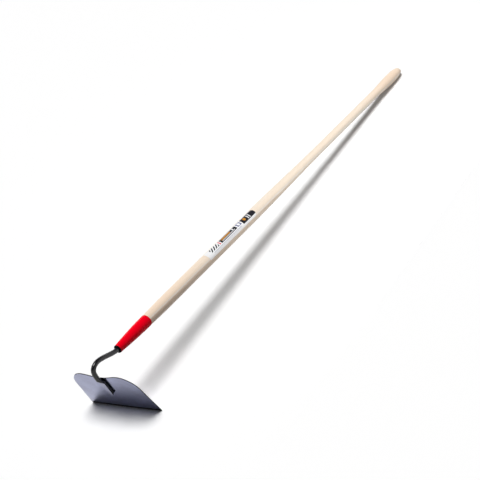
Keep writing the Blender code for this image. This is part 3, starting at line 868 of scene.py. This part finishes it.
label_length = LABEL_END - LABEL_START
flat_half = HANDLE_RADIUS * sin(0.5 * LABEL_WIDTH / HANDLE_RADIUS)
bpy.ops.object.select_all(action="DESELECT")
bpy.ops.mesh.primitive_plane_add(size=1.0)
label = bpy.context.object
label.name = "label_film"
bpy.ops.object.mode_set(mode="EDIT")
bpy.ops.mesh.select_all(action="SELECT")
bpy.ops.transform.resize(value=(2 * flat_half, label_length, 1.0))
select_where(label, lambda place: place.y > 0.0)
bpy.ops.mesh.bevel(offset=LABEL_ROUND_END, segments=ROUND_END_STEPS, affect="VERTICES")
select_where(label, lambda place: place.y < 0.0)
bpy.ops.mesh.bevel(offset=LABEL_CORNER, segments=CORNER_STEPS, affect="VERTICES")
for column in spread(-flat_half, flat_half, LABEL_COLUMNS + 1)[1:-1]:
    bpy.ops.mesh.select_all(action="SELECT")
    bpy.ops.mesh.bisect(plane_co=(column, 0.0, 0.0), plane_no=(1.0, 0.0, 0.0), threshold=MERGE_DISTANCE)
for row in spread(-0.5 * label_length, 0.5 * label_length, LABEL_ROWS + 1)[1:-1]:
    bpy.ops.mesh.select_all(action="SELECT")
    bpy.ops.mesh.bisect(plane_co=(0.0, row, 0.0), plane_no=(0.0, 1.0, 0.0), threshold=MERGE_DISTANCE)
bpy.ops.object.mode_set(mode="OBJECT")

# Held over the handle, the film is laid down on it and then given its thickness
facing = (Matrix.Rotation(LABEL_ANGLE, 4, "Z") @ Matrix.Rotation(0.5 * pi, 4, "Y")
          @ Matrix.Rotation(0.5 * pi, 4, "Z"))
held_out = Vector((cos(LABEL_ANGLE), sin(LABEL_ANGLE), 0.0)) * 2 * HANDLE_RADIUS
held_up = Vector((0.0, 0.0, LABEL_START + 0.5 * label_length))
label.matrix_world = tool_frame @ Matrix.Translation(held_out + held_up) @ facing
bpy.context.view_layer.update()
laid = label.modifiers.new("Laid", "SHRINKWRAP")
laid.target = handle
laid.wrap_method = "PROJECT"
laid.wrap_mode = "ABOVE_SURFACE"
laid.use_project_z = True
laid.use_positive_direction = False
laid.use_negative_direction = True
laid.offset = LABEL_LIFT
film = label.modifiers.new("Film", "SOLIDIFY")
film.thickness = LABEL_THICKNESS
film.offset = 1.0
bpy.ops.object.modifier_apply(modifier="Laid")
bpy.ops.object.modifier_apply(modifier="Film")
place_piece(label, label.matrix_world.copy(), sharp_angle=radians(40))

WHITE_FILM = (0.95, 0.95, 0.96)
INK = (0.012, 0.011, 0.018)
ORANGE = (0.62, 0.27, 0.035)
CRIMSON = (0.70, 0.02, 0.06)
SLATE = (0.18, 0.19, 0.33)
CREASE_NOISE = dict(scale=400.0, stretch=(1.0, 1.0, 0.3))
FILM_ROUGHNESS = (0.22, 0.2)

# Sizes of the print, in millimetres
MILLIMETRES = 1000.0
PRINT_EDGE = 0.12
STRIPE_WIDTH = 4.5
PANEL = (-9.0, 1.6)

printed_film, tree, shader = new_finish("printed_film", WHITE_FILM, roughness=0.3, coat=0.3,
                                        coat_roughness=0.1, reflectance=0.3)
upright = own_place(tree, tool_frame)
apart = add_node(tree, "SeparateXYZ", {0: upright})
climb = work_out(tree, "MULTIPLY", apart.outputs["Z"], MILLIMETRES)
bearing = work_out(tree, "ARCTAN2", apart.outputs["Y"], apart.outputs["X"])
from_middle = work_out(tree, "SUBTRACT", bearing, LABEL_ANGLE)
to_side = work_out(tree, "MULTIPLY", from_middle, MILLIMETRES * HANDLE_RADIUS)


def bar(low, high, left, right):
    """Printed rectangle, in millimetres up the handle and round it from the label's middle line."""
    inside_all = 1.0
    for value, limit, way in ((climb, low, 1), (climb, high, -1), (to_side, left, 1), (to_side, right, -1)):
        edge = fade(tree, value, limit - way * PRINT_EDGE, limit + way * PRINT_EDGE)
        inside_all = work_out(tree, "MULTIPLY", inside_all, edge)
    return inside_all


def disc(middle, aside, radius):
    """Printed disc, in the same millimetres."""
    along = work_out(tree, "SUBTRACT", climb, middle)
    beside = work_out(tree, "SUBTRACT", to_side, aside)
    away = add_node(tree, "VectorMath", {0: add_node(tree, "CombineXYZ", {0: along, 1: beside}).outputs[0]},
                    operation="LENGTH").outputs["Value"]
    return fade(tree, away, radius + PRINT_EDGE, radius - PRINT_EDGE)


slant = work_out(tree, "PINGPONG", work_out(tree, "ADD", climb, to_side), STRIPE_WIDTH)
stripes = fade(tree, slant, 0.5 * STRIPE_WIDTH - PRINT_EDGE, 0.5 * STRIPE_WIDTH + PRINT_EDGE)
print_colour = WHITE_FILM
for colour, share in (
        (INK, work_out(tree, "MULTIPLY", stripes, bar(378.0, 412.0, *PANEL))),
        (CRIMSON, bar(416.0, 419.5, *PANEL)),
        (INK, bar(423.0, 492.0, *PANEL)),
        (ORANGE, bar(430.0, 468.0, -7.2, -3.4)),
        (WHITE_FILM, bar(430.0, 485.0, -2.0, -0.6)),
        (WHITE_FILM, disc(479.0, -5.2, 2.6)),
        (SLATE, bar(496.0, 512.0, *PANEL)),
        (WHITE_FILM, disc(504.0, -3.7, 4.2)),
        (INK, bar(516.0, 571.5, -9.0, 6.2)),
        (ORANGE, disc(529.0, -2.6, 4.4)),
        (WHITE_FILM, bar(540.0, 543.0, -7.0, 4.2)),
        (WHITE_FILM, bar(547.0, 550.0, -7.0, 4.2)),
        (SLATE, bar(384.0, 506.0, 4.4, 5.0)),
        (SLATE, bar(384.0, 506.0, 6.4, 6.8))):
    print_colour = blend_colours(tree, share, print_colour, colour)
creased = speckle(tree, upright, **CREASE_NOISE)
tree.links.new(print_colour, shader.inputs["Base Color"])
tree.links.new(ramp(tree, creased, *FILM_ROUGHNESS), shader.inputs["Roughness"])
add_relief(tree, shader, creased, depth=0.00003, strength=0.5)
label.data.materials.append(printed_film)
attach(label, "root")
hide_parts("label")

# Stage: a plain pale floor that runs out to a white surround, lit at a plain level by one large soft lamp
# overhead, a long low one beside the upper handle and an even white fill.

FLOOR_SIZE = 60.0
FLOOR_SEEN = (0.99, 0.99, 0.99)
FLOOR_BOUNCE = (0.22, 0.22, 0.22)
FILL = 0.055
WALL_FOOT = 0.25
WALL_TOP = 0.6
KEY_STRENGTH = 3.0
KEY_SPREAD = radians(33)
KEY_FROM = Vector((-0.08, 0.035, 0.99))
KEY_DISTANCE = 3
SIDE_POWER = 1.6
SIDE_PLACE = (0.42, 0.93, 0.10)
SIDE_LENGTH = 0.95
SIDE_HEIGHT = 0.16


def plainly_seen(tree):
    """1 for rays by which the camera sees, straight or in a gloss or a glass, and 0 for bounced light."""
    path = tree.nodes.new("ShaderNodeLightPath")
    in_gloss = work_out(tree, "MAXIMUM", path.outputs["Is Glossy Ray"], path.outputs["Is Transmission Ray"])
    return work_out(tree, "MAXIMUM", path.outputs["Is Camera Ray"], in_gloss)


bpy.ops.object.select_all(action="DESELECT")
bpy.ops.mesh.primitive_plane_add(size=FLOOR_SIZE)
studio_floor = bpy.context.object
studio_floor.name = "studio_floor"
floor_paint, tree, shader = new_finish("floor_paint", FLOOR_SEEN, roughness=0.9, reflectance=0.0)
tree.links.new(blend_colours(tree, plainly_seen(tree), FLOOR_BOUNCE, FLOOR_SEEN), shader.inputs["Base Color"])
studio_floor.data.materials.append(floor_paint)

world = bpy.data.worlds.new("white_surround")
bpy.context.scene.world = world
world.use_nodes = True
background = world.node_tree.nodes["Background"]
background.inputs["Color"].default_value = (1.0, 1.0, 1.0, 1.0)
tree = world.node_tree
heading = tree.nodes.new("ShaderNodeTexCoord").outputs["Generated"]
low_down = fade(tree, add_node(tree, "SeparateXYZ", {0: heading}).outputs["Z"], WALL_TOP, WALL_FOOT)
shown = work_out(tree, "MULTIPLY", plainly_seen(tree), low_down)
tree.links.new(ramp(tree, shown, FILL, 1.0 - FILL), background.inputs["Strength"])

# The overhead lamp is far off, with a disc as wide as its spread
bpy.ops.object.select_all(action="DESELECT")
bpy.ops.object.light_add(type="SUN", location=KEY_FROM * KEY_DISTANCE)
key_lamp = bpy.context.object
key_lamp.name = "key_lamp"
key_lamp.data.energy = KEY_STRENGTH
key_lamp.data.angle = KEY_SPREAD
key_lamp.rotation_euler = KEY_FROM.to_track_quat("Z", "Y").to_euler()

# The long lamp lies beside the upper handle, facing it, so that the light falls off towards the head
bpy.ops.object.select_all(action="DESELECT")
bpy.ops.object.light_add(type="AREA", location=SIDE_PLACE, rotation=(0.0, 0.5 * pi, 0.0))
side_lamp = bpy.context.object
side_lamp.name = "side_lamp"
side_lamp.data.energy = SIDE_POWER
side_lamp.data.shape = "RECTANGLE"
side_lamp.data.size = SIDE_HEIGHT
side_lamp.data.size_y = SIDE_LENGTH
side_lamp.visible_camera = False
side_lamp.visible_glossy = False

# Camera: a long lens, up on the right of the head, rolled so that the handle crosses the picture from
# corner to corner.

CAMERA_PLACE = (2.05937, -1.83116, 1.82336)
AZIMUTH = radians(41.010)
ELEVATION = radians(29.375)
ROLL = radians(20.649)
LENS = 114.71
SENSOR = 36.0
FARTHEST_SEEN = 100.0

aim = Matrix.Rotation(AZIMUTH, 4, "Z") @ Matrix.Rotation(0.5 * pi - ELEVATION, 4, "X")
aim = aim @ Matrix.Rotation(-ROLL, 4, "Z")
bpy.ops.object.camera_add(location=CAMERA_PLACE, rotation=aim.to_euler())
camera = bpy.context.object
camera.name = "camera"
camera.data.lens = LENS
camera.data.sensor_width = SENSOR
camera.data.clip_end = FARTHEST_SEEN
bpy.context.scene.camera = camera
bpy.context.scene.view_settings.view_transform = "Standard"
